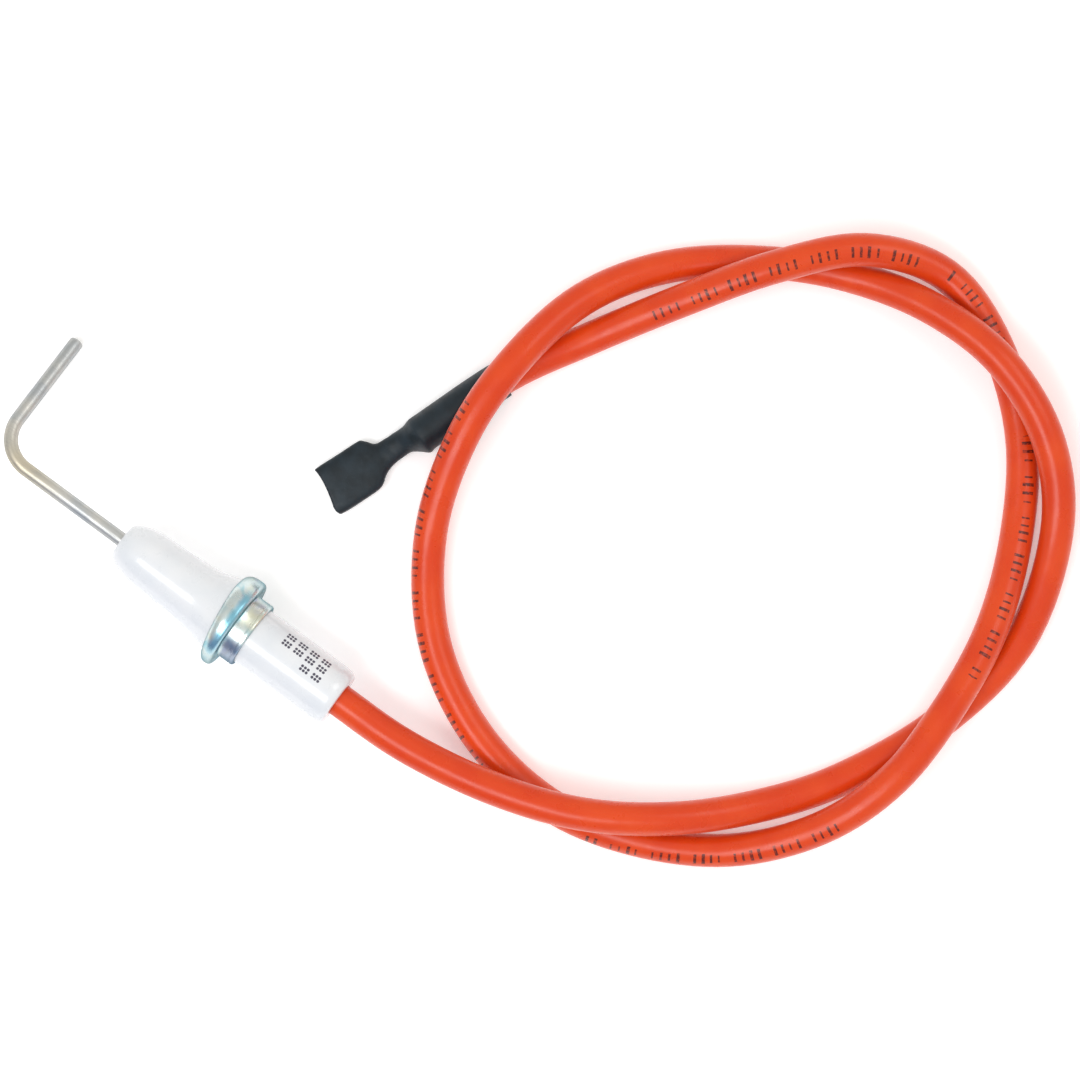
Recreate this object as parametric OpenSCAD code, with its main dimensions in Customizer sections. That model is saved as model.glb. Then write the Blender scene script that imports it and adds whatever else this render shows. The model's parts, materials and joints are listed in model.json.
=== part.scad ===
// Flame sensor probe for a gas burner or boiler.
//
// A bent sensing rod stands in a white ceramic insulator.  A pressed steel
// bushing holds the ceramic in the burner plate.  A silicone cable is spliced
// to the rod inside the ceramic and ends in a push-on terminal.
//
// Millimetres, +Z up.  The origin is on the probe's axis, in the plane of the
// flange's seating face.  +X runs along the axis to the cable, -X to the rod.
// The probe lies on a flat surface at z = -flange_d / 2: the flange's rim, the
// rod's tip and the cable touch it.

/* [Sensing rod] */
// Diameter of the rod
rod_d = 3; // [2.4:0.1:3]
// From the nose of the ceramic to the corner of the rod, along the axis
rod_reach = 33; // [20:1:60]
// From the corner of the rod to its tip
rod_leg = 29; // [20:1:45]
// Radius of the bend, on the rod's centreline
rod_bend_r = 8; // [5:0.5:10]
// Angle through which the rod turns
rod_turn = 88; // [70:1:95]

/* [Ceramic insulator] */
// From the seating face to the nose
nose_len = 30; // [26:1:40]
// From the seating face to the cable mouth
tail_len = 26; // [24:1:36]
// Diameter of the tail, and of the body inside the bushing
tail_d = 13; // [12.4:0.1:13]
// Diameter of the collar that the bushing is rolled over
collar_d = 19; // [18.4:0.1:19]

/* [Mounting bushing] */
// Diameter of the flange
flange_d = 20.5; // [20.5:0.5:24]
// Outer diameter of the barrel that enters the mounting hole
barrel_d = 14.8; // [14.8:0.1:15.6]
// Length of the barrel behind the seating face
barrel_len = 3.8; // [3:0.1:6]
// Thickness of the steel sheet
sheet_t = 0.7; // [0.6:0.1:0.8]

/* [Cable] */
// Outer diameter of the silicone jacket
cable_d = 7; // [6:0.5:7]
// Diameter of the stranded conductor
core_d = 1.4; // [1:0.1:1.4]

/* [Push-on terminal] */
// Width of the tab that the terminal takes
tab_w = 6.3; // [5.8:0.1:6.3]
// Thickness of the tab
tab_t = 0.8; // [0.5:0.1:0.8]
// Thickness of the terminal's sheet
strip_t = 0.4; // [0.3:0.05:0.4]
// Wall of the heat-shrink sleeve
shrink_t = 0.45; // [0.3:0.05:0.45]

/* [Hidden] */

fit = 0.1;              // gap between pieces that slide together
close_fit = 0.05;       // gap between pieces that are pressed together
turned_fn = 96;         // sides of turned pieces, as drawn
stamped_fn = 48;        // sides of the terminal's round shapes, as drawn
arc_steps = 8;          // steps of a rounded edge

rod_r = rod_d / 2;
flange_r = flange_d / 2;
barrel_r = barrel_d / 2;
tail_r = tail_d / 2;
collar_r = collar_d / 2;
cable_r = cable_d / 2;
core_r = core_d / 2;
table_z = -flange_r;

// Ceramic: hollow from the nose to the cable mouth.
// Nose outline: [share of the way from the nose to the collar, radius].
nose_profile = [[0, 3.6], [0.05, 4.7], [0.14, 5.6], [0.28, 6.1], [0.55, 6.4],
                [0.75, 6.8], [0.89, 7.5]];
nose_steps = 4;         // steps between two points of that outline
rod_bore_r = rod_r + fit;
splice_bore_r = 2.6;
splice_bore_x = [-4, 12];
cable_bore_r = cable_r + fit;
cement_pocket_r = 2.1;
cement_pocket_len = 2;
cement_recess = 0.3;    // how far the cement stays below an edge
mouth_face_r = 5.3;     // flat ring round the cable mouth
mouth_round_len = 2.6;  // length of the rounded tail edge
collar_x = [-4.65, -2, -sheet_t - close_fit];  // front edge, widest place, rear face
collar_lip = 1;         // how far the collar's front edge is rounded down
collar_lip_r = collar_r - collar_lip;
collar_chamfer = 0.4;

// Bushing: a flange domed to the front, and a barrel to the rear.
dome_x = [-5, -2];
dome_lip_r = collar_lip_r + fit;
rim_round = 0.9;
barrel_chamfer = 0.25;
barrel_bore_r = barrel_r - sheet_t;

// Splice between the rod and the conductor, inside the ceramic.
rod_end_x = 4;
splice_x = [-1, 10];
splice_r = 2.3;
splice_waist_r = 2.05;
splice_waist_len = 1;   // on each side of the waist

// Corner of the rod.
bend_tangent = rod_bend_r * tan(rod_turn / 2);
bend_x = -nose_len - rod_reach + bend_tangent;
leg_straight = rod_leg - bend_tangent;
tip_out = rod_bend_r * (1 - cos(rod_turn)) + leg_straight * sin(rod_turn);
// The leg droops until the edge of its tip rests where the flange's rim does.
leg_droop = asin(flange_r / norm([tip_out, rod_r])) - atan(rod_r / tip_out);
tip_chamfer = 0.4;
rod_sides = 24;
bend_steps = 14;

// Cable route: centreline points from the cut end of the jacket inside the
// ceramic, through two turns of a loose coil, to its cut end at the terminal.
rest_z = table_z + cable_r;
route_rest = -6.75;     // height in the route at which the cable lies on the table
route = [
    [14, 0, 0], [26, 0, 0], [43, 0.5, 0], [62, 4, 0.25], [80, 10.5, 0.25],
    [95.5, 20.5, -1.25], [108.5, 33, -5], [119.5, 48, -6.75], [129, 69.5, -6.75],
    [132.5, 93, -6.75], [125.5, 115.5, -5.5], [113, 129.5, -1.25], [96, 137, 0.5],
    [78, 138, -2.25], [60, 134, -6.75], [43, 125.5, -6.75], [27.5, 113, -6.25],
    [17.5, 97, -3], [14, 78, 1.5], [14.5, 59, 0], [20.5, 39, -5.5],
    [34, 21.5, -6.75], [52.5, 11, -6.75], [73, 8, -6.75], [92, 12.5, -6.75],
    [109.5, 22.5, -6.5], [122, 37.5, -3], [128, 54.5, 0.25], [128.5, 73.5, 0.25],
    [126, 92, -2.5], [119, 110.5, -6.5], [108, 127.5, -6.75], [92.5, 140, -6.75],
    [75.5, 145.5, -5.25], [59, 139.5, -0.5], [46, 125.5, 0.5], [34.5, 109, -2.5],
    [23, 91, -6.5], [14, 75, -6.25], [6.4, 54, -5.9]
];
laid = [for (p = route) [p.x, p.y, p.z * rest_z / route_rest]];
laid_end = len(laid) - 1;
steps_per_point = 2;    // rings between two points of the route
cable_path = lifted(smooth(laid, steps_per_point));
cut_end = laid[laid_end];
jacket_sides = 12;
core_sides = 8;
core_gap = 0.1;
core_bore_r = (core_r + core_gap) / cos(180 / jacket_sides);

// Terminal: local x runs from its mouth to the cable, local z = 0 is its sole.
plug_run = laid[laid_end - 1] - cut_end;
plug_yaw = atan2(plug_run.y, plug_run.x);
jacket_stop = 22.6;     // from the mouth to the cut end of the jacket
plug_shift = 1;         // the receptacle sits a little to one side of the cable
sole_z = table_z + shrink_t;
slot_play = 0.15;       // room over the tab
tab_play = 0.25;        // room at each edge of the tab
socket_x = [0.8, 9];      // the sleeve's mouth overhangs the receptacle
socket_w = tab_w + 2 * (strip_t + tab_play);
curl_r = strip_t + tab_t + slot_play;
dimple_r = 0.6;
dimple_h = 0.12;
neck_w = 3;
neck_len = 2.5;
crimp_x = [13, 18];
crimp_w = 3.3;
crimp_h = 2.1;
crimp_round = 0.8;
grip_x = [21.3, 26.1];
grip_w = 4;
grip_step = 1.4;        // from the start of the grip to its wings
grip_wing_angle = 62;
wing_cut = 9;           // size of the wedge that opens the grip upwards
core_z = strip_t + core_r + core_gap;
jacket_z = cut_end.z - sole_z;
strand_turn = [1.5, 1.2];  // where the strands turn down: past the jacket, below its axis
strand_rise = 0.4;      // from the crimp to the strands' rise

// Sleeve sections over the terminal: [from the mouth, half width, half height,
// squareness, sideways shift].  Over the cable the sleeve is round.
shrink_sections = [
    [-0.6, 5.5, 1.9, 3.4, plug_shift], [5, 5.5, 1.95, 3.2, plug_shift],
    [10.3, 5.5, 1.95, 3, plug_shift], [11.7, 4.8, 1.9, 2.8, plug_shift],
    [13.7, 2.9, 1.75, 2.4, plug_shift], [16.5, 2.8, 1.75, 2.2, plug_shift],
    [20, 2.9, 2, 2, plug_shift * 0.7], [21.7, 3.5, 3.2, 2, plug_shift * 0.3],
    [22.4, 4.1, 4.15, 2.4, 0], [26, 4.1, 4.15, 2.4, 0]
];
shrink_sides = 24;
shrink_cable_r = cable_r + shrink_t + close_fit;
shrink_rings = 5;       // rings on the cable
shrink_run = [0.2, 0.95];  // where they lie on the route's last stretch, from the cut end

// ---------------------------------------------------------------- functions

// Points of an elliptic quarter or part: centre, the two half axes, angles.
function arc(c, rx, ry, a0, a1) =
    [for (i = [0:arc_steps])
        let (a = a0 + (a1 - a0) * i / arc_steps) c + [rx * cos(a), ry * sin(a)]];

// A point on the smooth curve through p1 and p2, at t from 0 to 1.
function spline(p0, p1, p2, p3, t) =
    0.5 * (2 * p1 + (p2 - p0) * t + (2 * p0 - 5 * p1 + 4 * p2 - p3) * t * t
        + (3 * p1 - p0 - 3 * p2 + p3) * t * t * t);

function before(points, i) = i == 0 ? 2 * points[0] - points[1] : points[i - 1];

function after(points, i) =
    i + 2 < len(points) ? points[i + 2] : 2 * points[i + 1] - points[i];

// A smooth curve through all the points, with n steps between neighbours.
function smooth(points, n) = concat(
    [for (i = [0:len(points) - 2], k = [0:n - 1])
        spline(before(points, i), points[i], points[i + 1], after(points, i), k / n)],
    [points[len(points) - 1]]);

// A point of the rod, from its place in the plane of the bend: x, and y outwards.
function in_bend(x, y) = [x, y * cos(leg_droop), -y * sin(leg_droop)];

function along_leg(d) = in_bend(
    bend_x - rod_bend_r * sin(rod_turn) - d * cos(rod_turn),
    rod_bend_r * (1 - cos(rod_turn)) + d * sin(rod_turn));

rod_path = concat(
    [in_bend(rod_end_x, 0)],
    [for (i = [0:bend_steps])
        let (a = rod_turn * i / bend_steps)
        in_bend(bend_x - rod_bend_r * sin(a), rod_bend_r * (1 - cos(a)))],
    [along_leg(leg_straight - tip_chamfer)]);
rod_tip = along_leg(leg_straight);
rod_heading = unit(rod_tip - along_leg(0));

// The cable lies on the table and never sinks into it.
function lifted(points) = [for (p = points) [p.x, p.y, max(p.z, rest_z)]];

function unit(v) = v / norm(v);

function heading(path, i) =
    unit(path[min(i + 1, len(path) - 1)] - path[max(i - 1, 0)]);

function side_of(t) = unit(cross([0, 0, 1], t));

// One ring of points round a centreline point.
function ring(p, t, r, sides) =
    let (s = side_of(t), u = cross(t, s))
    [for (k = [0:sides - 1])
        let (a = 360 * k / sides) p + r * (cos(a) * s + sin(a) * u)];

function rings(path, r, sides) =
    [for (i = [0:len(path) - 1]) ring(path[i], heading(path, i), r, sides)];

function flat(lists) = [for (l = lists, p = l) p];

// Side faces between successive rings, the first ring starting at point `from`.
function wall(count, sides, from, inward) =
    [for (i = [0:count - 2], k = [0:sides - 1])
        let (a = from + i * sides + k, b = from + i * sides + (k + 1) % sides,
             c = b + sides, d = a + sides)
        inward ? [a, b, c, d] : [d, c, b, a]];

// Flat ring between an outer and an inner ring of the same number of sides.
function rim(outer, inner, sides, reverse) =
    [for (k = [0:sides - 1])
        let (a = outer + k, b = outer + (k + 1) % sides,
             c = inner + (k + 1) % sides, d = inner + k)
        reverse ? [a, b, c, d] : [d, c, b, a]];

// A place on the terminal: x from its mouth, y to the side, z above its sole.
function at_plug(x, y, z) = [
    cut_end.x + (x - jacket_stop) * cos(plug_yaw) - y * sin(plug_yaw),
    cut_end.y + (x - jacket_stop) * sin(plug_yaw) + y * cos(plug_yaw),
    sole_z + z];

core_path = concat(
    [[rod_end_x + fit, 0, 0], [splice_x[1] + 1, 0, 0]],
    cable_path,
    [at_plug(jacket_stop - strand_turn[0], 0, jacket_z - strand_turn[1]),
     at_plug(crimp_x[1] + strand_rise, plug_shift, core_z),
     at_plug(crimp_x[0], plug_shift, core_z)]);

// Outline of a sleeve section in its own plane.
function section(w, h, n, sides) =
    [for (k = [0:sides - 1])
        let (a = 360 * k / sides, c = cos(a), s = sin(a))
        [w * sign(c) * pow(abs(c), 2 / n), h * sign(s) * pow(abs(s), 2 / n)]];

// Rings of the sleeve, `in` millimetres inside its outer surface.
function plug_rings(in) =
    [for (q = shrink_sections)
        [for (p = section(q[1] - in, q[2] - in, q[3], shrink_sides))
            at_plug(q[0], q[4] + p.x, q[2] - shrink_t + p.y)]];

// Rings of the sleeve round the cable, on the route's last stretch.
function on_cable(k) =
    spline(before(laid, laid_end - 1), laid[laid_end - 1], cut_end,
        after(laid, laid_end - 1),
        1 - shrink_run[0] - (shrink_run[1] - shrink_run[0]) * k / shrink_rings);

function cable_rings(in) =
    [for (k = [1:shrink_rings])
        ring(on_cable(k), unit(on_cable(k) - on_cable(k - 1)), shrink_cable_r - in,
            shrink_sides)];

// ------------------------------------------------------------------ shapes

// A turned piece about the X axis, from an outline of [x, radius] points.
module turned(outline) {
    rotate([0, 90, 0])
        rotate_extrude($fn = turned_fn)
            polygon([for (p = outline) [p.y, p.x]]);
}

module tube_ring(x0, x1, r_out, r_in) {
    turned([[x0, r_in], [x0, r_out], [x1, r_out], [x1, r_in]]);
}

module solid_rings(outer, sides) {
    n = len(outer);
    polyhedron(
        points = flat(outer),
        faces = concat(
            wall(n, sides, 0, false),
            [[for (k = [0:sides - 1]) k]],
            [[for (k = [0:sides - 1]) n * sides - 1 - k]]));
}

module hollow_rings(outer, inner, sides) {
    n = len(outer);
    inner_from = n * sides;
    polyhedron(
        points = concat(flat(outer), flat(inner)),
        faces = concat(
            wall(n, sides, 0, false),
            wall(n, sides, inner_from, true),
            rim(0, inner_from, sides, true),
            rim((n - 1) * sides, inner_from + (n - 1) * sides, sides, false)));
}

module place_plug() {
    translate(at_plug(0, plug_shift, 0))
        rotate([0, 0, plug_yaw])
            children();
}

// --------------------------------------------------------------- sub-parts

// Sensing rod: straight shank, bend, and leg with a chamfered tip.
module sensing_rod() {
    color("#9a958c")
        solid_rings(concat(
            rings(rod_path, rod_r, rod_sides),
            [ring(rod_tip, rod_heading, rod_r - tip_chamfer, rod_sides)]), rod_sides);
}

// Cement that seals the rod into the nose.
module nose_cement() {
    color("#e4e2da")
        tube_ring(-nose_len + cement_recess, -nose_len + cement_pocket_len,
            cement_pocket_r, rod_r);
}

// White body: rounded nose, flare to the collar, plain tail with a rounded end.
module ceramic_insulator() {
    body_len = nose_len + collar_x[0];
    nose = smooth(concat(
        [for (p = nose_profile) [-nose_len + body_len * p[0], p[1]]],
        [[collar_x[0], collar_lip_r]]), nose_steps);
    collar = arc([collar_x[1], collar_lip_r], collar_x[1] - collar_x[0], collar_lip, 180, 90);
    tail = arc([tail_len - mouth_round_len, mouth_face_r], mouth_round_len,
        tail_r - mouth_face_r, 90, 0);
    color("#f6f6f4")
        turned(concat(
            [[-nose_len, cement_pocket_r]],
            nose,
            collar,
            [[collar_x[2] - collar_chamfer, collar_r],
             [collar_x[2], collar_r - collar_chamfer], [collar_x[2], tail_r]],
            tail,
            [[tail_len, cable_bore_r], [splice_bore_x[1], cable_bore_r],
             [splice_bore_x[1], splice_bore_r], [splice_bore_x[0], splice_bore_r],
             [splice_bore_x[0], rod_bore_r], [-nose_len + cement_pocket_len, rod_bore_r],
             [-nose_len + cement_pocket_len, cement_pocket_r]]));
}

// Thin bed of cement between the ceramic and the barrel.
module bushing_cement() {
    color("#d9d6cc")
        tube_ring(0, barrel_len - cement_recess, barrel_bore_r, tail_r);
}

// Pressed steel bushing: dome rolled over the collar, seating face and barrel.
module mounting_bushing() {
    dome = arc([dome_x[1], dome_lip_r], dome_x[1] - dome_x[0],
        flange_r - dome_lip_r, 180, 90);
    rim_edge = arc([-rim_round, flange_r - rim_round], rim_round, rim_round, 90, 0);
    inner = arc([collar_x[1], collar_lip_r + close_fit],
        collar_x[1] - collar_x[0] + close_fit, collar_lip, 90, 180);
    color("#b9c3c6")
        turned(concat(
            dome,
            rim_edge,
            [[0, barrel_r], [barrel_len - barrel_chamfer, barrel_r],
             [barrel_len, barrel_r - barrel_chamfer], [barrel_len, barrel_bore_r],
             [-sheet_t, barrel_bore_r], [-sheet_t, collar_r + close_fit]],
            inner));
}

// Crimped tube that joins the end of the rod to the conductor.
module splice_sleeve() {
    waist = (splice_x[0] + splice_x[1]) / 2;
    color("#c9b27c")
        turned([[splice_x[0], rod_r], [splice_x[0], splice_r],
            [waist - splice_waist_len, splice_r], [waist, splice_waist_r],
            [waist + splice_waist_len, splice_r], [splice_x[1], splice_r],
            [splice_x[1], core_r + close_fit], [rod_end_x, core_r + close_fit],
            [rod_end_x, rod_r]]);
}

// Cement round the splice, inside the ceramic.
module splice_potting() {
    color("#cfcac0")
        turned([[splice_bore_x[0], rod_r], [splice_bore_x[0], splice_bore_r],
            [splice_bore_x[1], splice_bore_r], [splice_bore_x[1], core_r + core_gap],
            [splice_x[1] + fit, core_r + core_gap], [splice_x[1] + fit, splice_r],
            [splice_x[0] - fit, splice_r], [splice_x[0] - fit, rod_r]]);
}

// Tinned copper strands, as one plain core along the whole cable.
module conductor() {
    color("#c8c4bc")
        solid_rings(rings(core_path, core_r, core_sides), core_sides);
}

// Silicone jacket, hollow for the conductor.
module cable_jacket() {
    color("#e0491f")
        hollow_rings(
            rings(cable_path, cable_r, jacket_sides),
            rings(cable_path, core_bore_r, jacket_sides),
            jacket_sides);
}

// One rolled edge of the receptacle, as its cross-section.
module curl() {
    difference() {
        circle(r = curl_r, $fn = stamped_fn);
        circle(r = curl_r - strip_t, $fn = stamped_fn);
        translate([-2 * curl_r, -2 * curl_r])
            square([2 * curl_r, 2 * curl_r]);
    }
}

// Stamped receptacle, neck, wire crimp and the saddle that grips the jacket.
module quick_connect_terminal() {
    color("#b8a24e")
        place_plug() {
            // sole plate, from the mouth to the grip
            linear_extrude(strip_t)
                polygon([[socket_x[0], -socket_w / 2 + curl_r],
                    [socket_x[1], -socket_w / 2 + curl_r],
                    [crimp_x[0] - neck_len, -neck_w / 2], [crimp_x[0], -crimp_w / 2],
                    [crimp_x[1], -crimp_w / 2], [grip_x[0], -plug_shift - grip_w / 2],
                    [grip_x[1], -plug_shift - grip_w / 2],
                    [grip_x[1], -plug_shift + grip_w / 2],
                    [grip_x[0], -plug_shift + grip_w / 2],
                    [crimp_x[1], crimp_w / 2], [crimp_x[0], crimp_w / 2],
                    [crimp_x[0] - neck_len, neck_w / 2],
                    [socket_x[1], socket_w / 2 - curl_r],
                    [socket_x[0], socket_w / 2 - curl_r]]);
            // rolled edges that hold the tab
            for (side = [-1, 1])
                translate([socket_x[0], side * (socket_w / 2 - curl_r), curl_r])
                    mirror([0, side < 0 ? 1 : 0, 0])
                        rotate([90, 0, 90])
                            linear_extrude(socket_x[1] - socket_x[0])
                                curl();
            // locking dimple on the sole plate
            translate([(socket_x[0] + socket_x[1]) / 2, 0, strip_t])
                cylinder(h = dimple_h, r = dimple_r, $fn = stamped_fn);
            // wire crimp, folded over the strands from both sides
            translate([crimp_x[0], 0, 0])
                rotate([90, 0, 90])
                    linear_extrude(crimp_x[1] - crimp_x[0])
                        difference() {
                            union() {
                                translate([-crimp_w / 2, 0])
                                    square([crimp_w, crimp_h - crimp_round]);
                                for (side = [-1, 1])
                                    translate([side * (crimp_w / 2 - crimp_round),
                                            crimp_h - crimp_round])
                                        circle(r = crimp_round, $fn = stamped_fn);
                            }
                            translate([0, core_z])
                                circle(r = core_r + close_fit, $fn = stamped_fn);
                        }
            // saddle under the jacket, with two short wings
            translate([grip_x[0] + grip_step, -plug_shift, jacket_z])
                rotate([90, 0, 90])
                    linear_extrude(grip_x[1] - grip_x[0] - grip_step)
                        difference() {
                            circle(r = cable_r + strip_t, $fn = stamped_fn);
                            circle(r = cable_r, $fn = stamped_fn);
                            polygon([[0, 0],
                                wing_cut * [sin(grip_wing_angle), -cos(grip_wing_angle)],
                                [wing_cut, wing_cut], [-wing_cut, wing_cut],
                                wing_cut * [-sin(grip_wing_angle), -cos(grip_wing_angle)]]);
                        }
        }
}

// Heat-shrink sleeve: flattened over the receptacle, round over the cable.
module heat_shrink_sleeve() {
    color("#2c3438")
        hollow_rings(
            concat(plug_rings(0), cable_rings(0)),
            concat(plug_rings(shrink_t), cable_rings(shrink_t)),
            shrink_sides);
}

sensing_rod();
nose_cement();
ceramic_insulator();
bushing_cement();
mounting_bushing();
splice_sleeve();
splice_potting();
conductor();
cable_jacket();
quick_connect_terminal();
heat_shrink_sleeve();
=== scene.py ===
"""Looks of the flame sensor probe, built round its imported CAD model. Metres, +Z up.

The frame is the CAD's: +X runs along the probe's axis to the cable, +Y is the side of
the rod's leg, and the table is as far below the axis as the flange's rim.
"""

import json
import math

import bpy
import numpy as np
from mathutils import Matrix, Vector

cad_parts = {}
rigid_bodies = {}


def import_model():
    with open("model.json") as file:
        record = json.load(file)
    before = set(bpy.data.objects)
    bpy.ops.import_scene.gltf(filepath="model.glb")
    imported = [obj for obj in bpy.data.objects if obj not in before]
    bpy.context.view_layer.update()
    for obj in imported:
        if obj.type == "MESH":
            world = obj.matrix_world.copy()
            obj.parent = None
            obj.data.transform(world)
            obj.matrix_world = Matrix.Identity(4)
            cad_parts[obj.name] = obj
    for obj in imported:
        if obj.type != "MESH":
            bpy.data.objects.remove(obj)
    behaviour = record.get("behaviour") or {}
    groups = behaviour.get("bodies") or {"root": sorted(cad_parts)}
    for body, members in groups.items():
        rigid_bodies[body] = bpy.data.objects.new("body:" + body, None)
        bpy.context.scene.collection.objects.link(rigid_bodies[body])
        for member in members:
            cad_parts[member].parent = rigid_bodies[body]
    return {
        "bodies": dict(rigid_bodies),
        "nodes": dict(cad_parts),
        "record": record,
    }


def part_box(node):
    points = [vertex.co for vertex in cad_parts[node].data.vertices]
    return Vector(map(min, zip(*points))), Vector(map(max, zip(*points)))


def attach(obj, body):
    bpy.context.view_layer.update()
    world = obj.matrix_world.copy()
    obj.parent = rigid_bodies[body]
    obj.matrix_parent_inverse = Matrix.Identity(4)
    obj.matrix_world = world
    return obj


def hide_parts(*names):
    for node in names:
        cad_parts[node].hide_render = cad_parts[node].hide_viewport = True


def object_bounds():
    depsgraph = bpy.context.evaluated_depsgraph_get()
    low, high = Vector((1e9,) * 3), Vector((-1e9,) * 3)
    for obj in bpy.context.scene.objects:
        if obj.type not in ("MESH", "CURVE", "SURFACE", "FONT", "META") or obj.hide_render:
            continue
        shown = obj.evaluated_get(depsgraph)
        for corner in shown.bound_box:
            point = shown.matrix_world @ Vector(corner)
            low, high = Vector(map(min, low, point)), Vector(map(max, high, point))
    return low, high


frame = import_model()
cad_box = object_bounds()
BODY = next(iter(frame["bodies"]))
MM = 0.001

# ---------------------------------------------------------------- camera
VIEW_TARGET = Vector((0.0401, 0.0513, 0))
VIEW_DISTANCE = 0.849
VIEW_LEAN = math.radians(3.5)      # from straight above, towards the cable
VIEW_TURN = math.radians(36.17)    # of the picture's right side from +X
VIEW_ANGLE = math.radians(15)      # of the lens, across the picture
VIEW_CLIP = (0.01, 20)


def add_camera():
    lean = Matrix.Rotation(VIEW_LEAN, 3, "Y")
    data = bpy.data.cameras.new("camera")
    data.angle = VIEW_ANGLE
    data.clip_start, data.clip_end = VIEW_CLIP
    camera = bpy.data.objects.new("camera", data)
    bpy.context.scene.collection.objects.link(camera)
    turned = (lean @ Matrix.Rotation(VIEW_TURN, 3, "Z")).to_4x4()
    turned.translation = VIEW_TARGET + lean @ Vector((0, 0, VIEW_DISTANCE))
    camera.matrix_world = turned
    bpy.context.scene.camera = camera


add_camera()

# ---------------------------------------------------------------- sizes
ceramic_low, ceramic_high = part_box("ceramic_insulator")
bushing_low, bushing_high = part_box("mounting_bushing")

TABLE_Z = bushing_low.z
CABLE_R = 3.5 * MM
CORE_R = 0.8 * MM          # of the jacket's bore
ROD_R = 1.5 * MM

# Cable route, as in the CAD: from the cut end inside the ceramic to the terminal.
ROUTE = np.array([
    [14, 0, 0], [26, 0, 0], [43, 0.5, 0], [62, 4, 0.25], [80, 10.5, 0.25],
    [95.5, 20.5, -1.25], [108.5, 33, -5], [119.5, 48, -6.75], [129, 69.5, -6.75],
    [132.5, 93, -6.75], [125.5, 115.5, -5.5], [113, 129.5, -1.25], [96, 137, 0.5],
    [78, 138, -2.25], [60, 134, -6.75], [43, 125.5, -6.75], [27.5, 113, -6.25],
    [17.5, 97, -3], [14, 78, 1.5], [14.5, 59, 0], [20.5, 39, -5.5],
    [34, 21.5, -6.75], [52.5, 11, -6.75], [73, 8, -6.75], [92, 12.5, -6.75],
    [109.5, 22.5, -6.5], [122, 37.5, -3], [128, 54.5, 0.25], [128.5, 73.5, 0.25],
    [126, 92, -2.5], [119, 110.5, -6.5], [108, 127.5, -6.75], [92.5, 140, -6.75],
    [75.5, 145.5, -5.25], [59, 139.5, -0.5], [46, 125.5, 0.5], [34.5, 109, -2.5],
    [23, 91, -6.5], [14, 75, -6.25], [6.4, 54, -5.9],
]) * MM
STEPS_PER_POINT = 8


def smooth(points, steps):
    """A smooth curve through all the points, with this many steps between neighbours."""
    points = np.asarray(points, float)
    ends = np.vstack([2 * points[0] - points[1], points, 2 * points[-1] - points[-2]])
    t = np.arange(steps)[:, None] / steps
    curve = []
    for a, b, c, d in zip(ends, ends[1:], ends[2:], ends[3:]):
        curve.append(0.5 * (2 * b + (c - a) * t + (2 * a - 5 * b + 4 * c - d) * t ** 2
                            + (3 * b - a - 3 * c + d) * t ** 3))
    return np.vstack(curve + [points[-1:]])


def lengths(line):
    """How far each point of a line is along it."""
    return np.concatenate([[0], np.cumsum(np.linalg.norm(np.diff(line, axis=0), axis=1))])


cable_line = smooth(ROUTE, STEPS_PER_POINT)
cable_line[:, 2] = np.maximum(cable_line[:, 2], TABLE_Z + CABLE_R)
cable_at = lengths(cable_line)

# ---------------------------------------------------------------- mesh helpers


def frames(line):
    """Unit vectors at each point of a line: along it, to its left, and up from it."""
    along = np.gradient(line, axis=0)
    along /= np.linalg.norm(along, axis=1)[:, None]
    left = np.cross([0, 0, 1], along)
    left /= np.linalg.norm(left, axis=1)[:, None]
    return along, left, np.cross(along, left)


def tube_rings(line, radii, sides):
    """Rings of points round a line. Angle 0 is its left side, and a quarter turn is its top."""
    _, left, up = frames(line)
    a = np.arange(sides) * math.tau / sides
    out = np.cos(a)[None, :, None] * left[:, None] + np.sin(a)[None, :, None] * up[:, None]
    return line[:, None] + np.asarray(radii, float).reshape(-1, 1, 1) * out


def turned_rings(outline, sides):
    """Rings round the X axis from an outline of (x, radius) points."""
    outline = np.asarray(outline, float)
    a = np.arange(sides) * math.tau / sides
    x = np.repeat(outline[:, :1], sides, 1)
    y, z = outline[:, 1:] * np.cos(a), outline[:, 1:] * np.sin(a)
    return np.stack([x, y, z], -1)


def arc(centre, radii, start, end, steps=12):
    """Points of a part of an ellipse, in degrees."""
    a = np.radians(np.linspace(start, end, steps + 1))
    return np.stack([centre[0] + radii[0] * np.cos(a), centre[1] + radii[1] * np.sin(a)], 1)


def skin(name, rings, joined=False, sharp=40, attributes=None):
    """A mesh object whose faces join each ring to the next, kept inside the CAD's box.
    joined also joins the last ring to the first; otherwise both ends are capped.
    Edges over sharp degrees are sharp; attributes hold one value for each point."""
    rings = np.clip(np.asarray(rings, float), *np.array(cad_box))
    count, sides = rings.shape[:2]
    faces = []
    for i in range(count if joined else count - 1):
        a, b = i * sides, (i + 1) % count * sides
        for k in range(sides):
            n = (k + 1) % sides
            faces.append((a + k, a + n, b + n, b + k))
    if not joined:
        faces.append(tuple(reversed(range(sides))))
        faces.append(tuple(range((count - 1) * sides, count * sides)))
    mesh = bpy.data.meshes.new(name)
    mesh.from_pydata(rings.reshape(-1, 3).tolist(), [], faces)
    for key, values in (attributes or {}).items():
        layer = mesh.attributes.new(key, "FLOAT", "POINT")
        layer.data.foreach_set("value", np.ascontiguousarray(values, np.float32).ravel())
    mesh.polygons.foreach_set("use_smooth", [True] * len(mesh.polygons))
    mesh.set_sharp_from_angle(angle=math.radians(sharp))
    mesh.update()
    made = bpy.data.objects.new(name, mesh)
    bpy.context.scene.collection.objects.link(made)
    return made


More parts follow.
